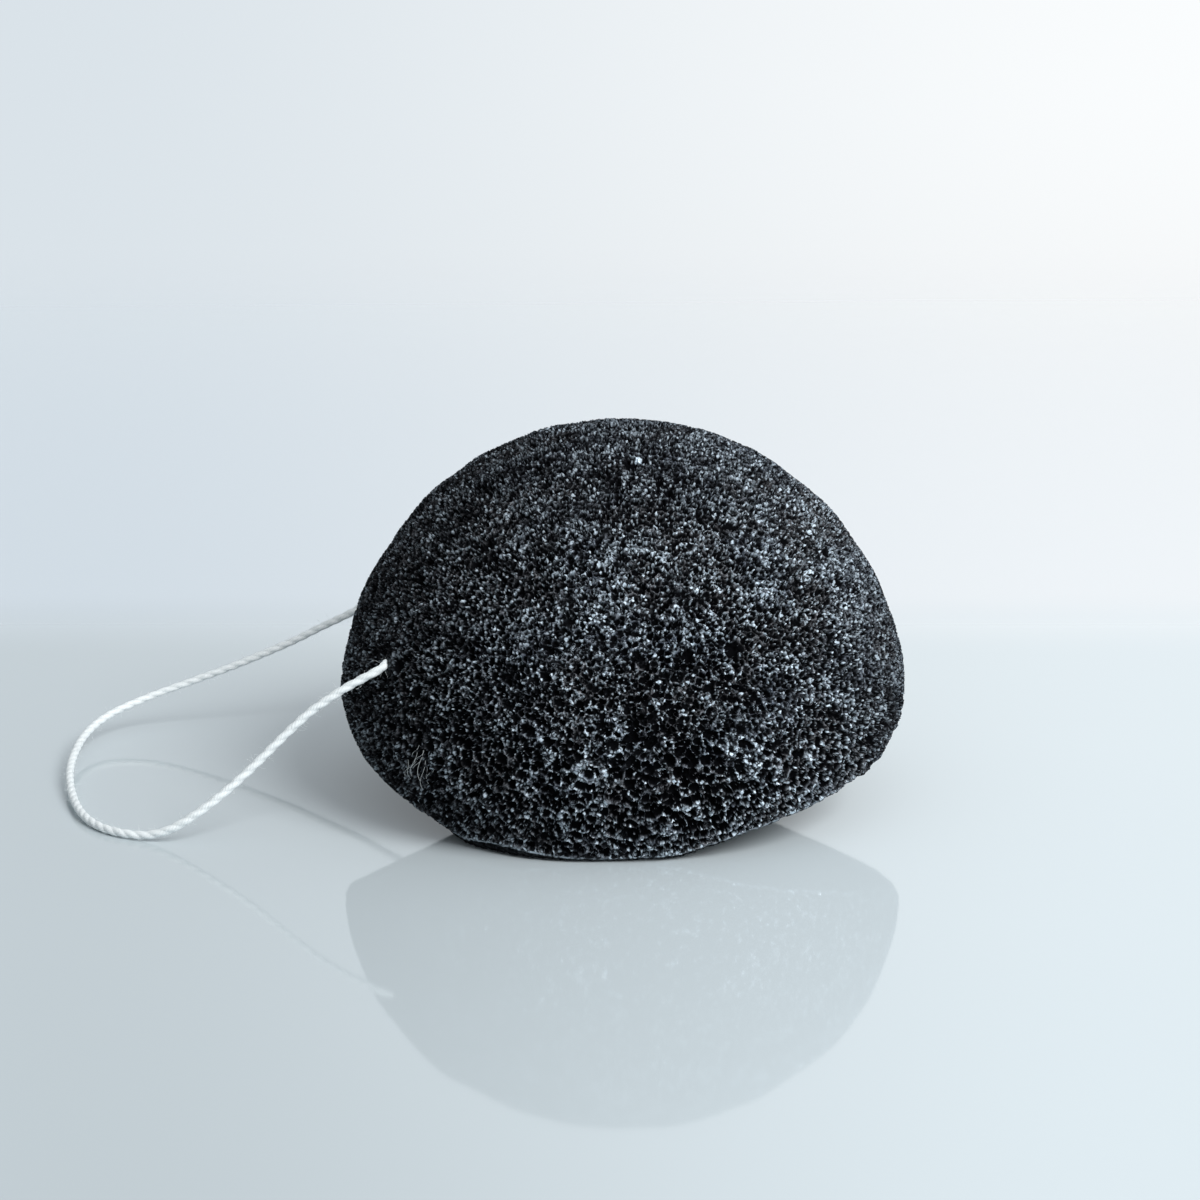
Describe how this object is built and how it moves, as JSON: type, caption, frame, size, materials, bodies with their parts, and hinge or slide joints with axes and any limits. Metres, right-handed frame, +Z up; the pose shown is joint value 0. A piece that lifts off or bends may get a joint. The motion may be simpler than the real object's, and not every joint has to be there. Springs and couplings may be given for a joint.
{
  "type": "konjac sponge",
  "caption": "Half-ball facial cleansing sponge of open-cell charcoal foam, with a knotted cotton hanging loop threaded through its flank.",
  "frame": {"origin": "middle of the bottom of the foam body's box, on the surface it stands on", "axes": "+Z up from the flat seat to the crown, -Y the front that the picture shows, -X the side where the hanging loop lies"},
  "size_m": [0.1144, 0.0749, 0.0488],
  "materials": {
    "charcoal_foam": "dry open-cell konjac foam, matte, with small bright glints on its cell walls",
    "cotton_string": "two-ply twisted undyed cotton, matte and slightly fuzzy"
  },
  "bodies": {
    "sponge": {"sponge_body": "charcoal_foam"},
    "threaded_run": {"cord_threaded_run": "cotton_string"},
    "hanging_loop": {"cord_loop": "cotton_string", "cord_knot": "cotton_string", "cord_tail_long": "cotton_string", "cord_tail_short": "cotton_string"}
  },
  "joints": [
    {"name": "string_draw", "type": "slide", "parent": "sponge", "child": "threaded_run", "axis": [0, 1, 0], "range_m": [-0.002, 0]},
    {"name": "loop_swing", "type": "hinge", "parent": "threaded_run", "child": "hanging_loop", "pos_m": [-0.03, 0, 0.022], "axis": [0, 1, 0], "range_deg": [0, 130]}
  ]
}
